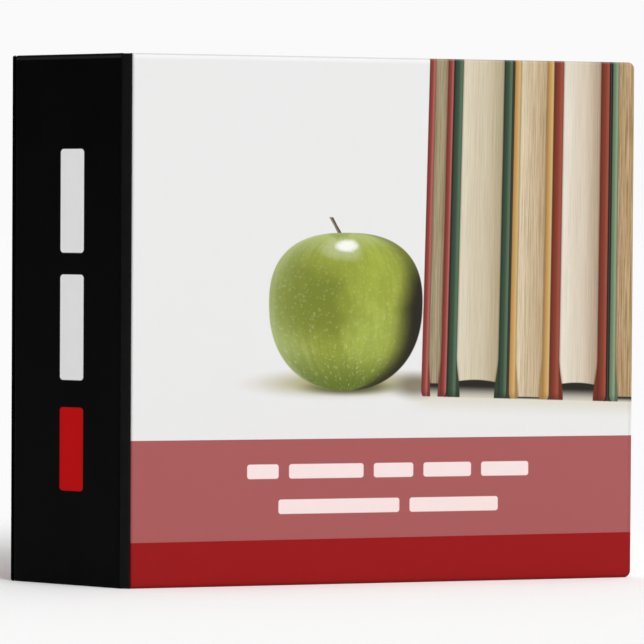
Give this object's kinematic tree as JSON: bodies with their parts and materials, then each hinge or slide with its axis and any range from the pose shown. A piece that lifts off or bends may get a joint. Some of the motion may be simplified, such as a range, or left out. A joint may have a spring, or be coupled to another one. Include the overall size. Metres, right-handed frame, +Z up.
{
  "type": "ring binder",
  "caption": "Upright letter-size D-ring binder with hinged printed covers, a black spine, inside pockets and lever-opened ring metal.",
  "frame": {"origin": "middle of the underside of the standing binder's bounding box, with the front cover ajar", "axes": "+Z up along the spine; the back cover lies along X with its free edge at +X; the front cover swings out towards -Y"},
  "size_m": [0.296, 0.2718, 0.292],
  "materials": {
    "front_print": "satin laminate over a printed sheet",
    "back_print": "satin laminate over a printed sheet",
    "spine_print": "satin laminate over a black sheet",
    "hinge_film": "flexible satin film",
    "chipboard": "rough grey board",
    "liner": "matt coated sheet",
    "pocket_sheet": "soft satin film",
    "nickel": "bright nickel plate",
    "grip": "matt moulded plastic"
  },
  "bodies": {
    "back_cover": {"back_board": "chipboard", "back_wrap": "back_print", "back_liner": "liner", "back_pocket_low": "pocket_sheet", "back_pocket_high": "pocket_sheet", "ring_housing": "nickel", "rivets": "nickel", "rivet_caps": "nickel", "top_lever_pin": "nickel", "bottom_lever_pin": "nickel"},
    "spine": {"spine_board": "chipboard", "spine_wrap": "spine_print", "spine_liner": "liner", "front_hinge_strip": "hinge_film", "rear_hinge_strip": "hinge_film"},
    "front_cover": {"front_board": "chipboard", "front_wrap": "front_print", "front_liner": "liner", "front_pocket_low": "pocket_sheet", "front_pocket_high": "pocket_sheet"},
    "ring_side": {"ring_rail": "nickel", "ring_top": "nickel", "ring_middle": "nickel", "ring_bottom": "nickel"},
    "post_side": {"post_rail": "nickel", "post_top": "nickel", "post_middle": "nickel", "post_bottom": "nickel"},
    "top_trigger": {"top_lever": "nickel", "top_lever_pad": "grip"},
    "bottom_trigger": {"bottom_lever": "nickel", "bottom_lever_pad": "grip"}
  },
  "joints": [
    {"name": "rear_hinge", "type": "hinge", "parent": "back_cover", "child": "spine", "pos_m": [-0.14723, 0.13387, 0.146], "axis": [0, 0, -1], "range_deg": [0, 90], "deforming": ["rear_hinge_strip"]},
    {"name": "front_hinge", "type": "hinge", "parent": "spine", "child": "front_cover", "pos_m": [-0.14723, 0.05442, 0.146], "axis": [0, 0, -1], "range_deg": [-40, 50], "deforming": ["front_hinge_strip"]},
    {"name": "ring_swing", "type": "hinge", "parent": "back_cover", "child": "ring_side", "pos_m": [-0.1214, 0.12804, 0.146], "axis": [0, 0, -1], "range_deg": [0, 12]},
    {"name": "post_swing", "type": "hinge", "parent": "back_cover", "child": "post_side", "pos_m": [-0.0926, 0.12804, 0.146], "axis": [0, 0, 1], "range_deg": [0, 12]},
    {"name": "top_lever_turn", "type": "hinge", "parent": "back_cover", "child": "top_trigger", "pos_m": [-0.107, 0.12684, 0.2725], "axis": [-1, 0, 0], "range_deg": [0, 28]},
    {"name": "bottom_lever_turn", "type": "hinge", "parent": "back_cover", "child": "bottom_trigger", "pos_m": [-0.107, 0.12684, 0.0195], "axis": [1, 0, 0], "range_deg": [0, 28]}
  ],
  "couplings": [
    {"joint": "post_swing", "follows": "ring_swing", "ratio": 1},
    {"joint": "top_lever_turn", "follows": "ring_swing", "ratio": 2.3333},
    {"joint": "bottom_lever_turn", "follows": "ring_swing", "ratio": 2.3333}
  ]
}
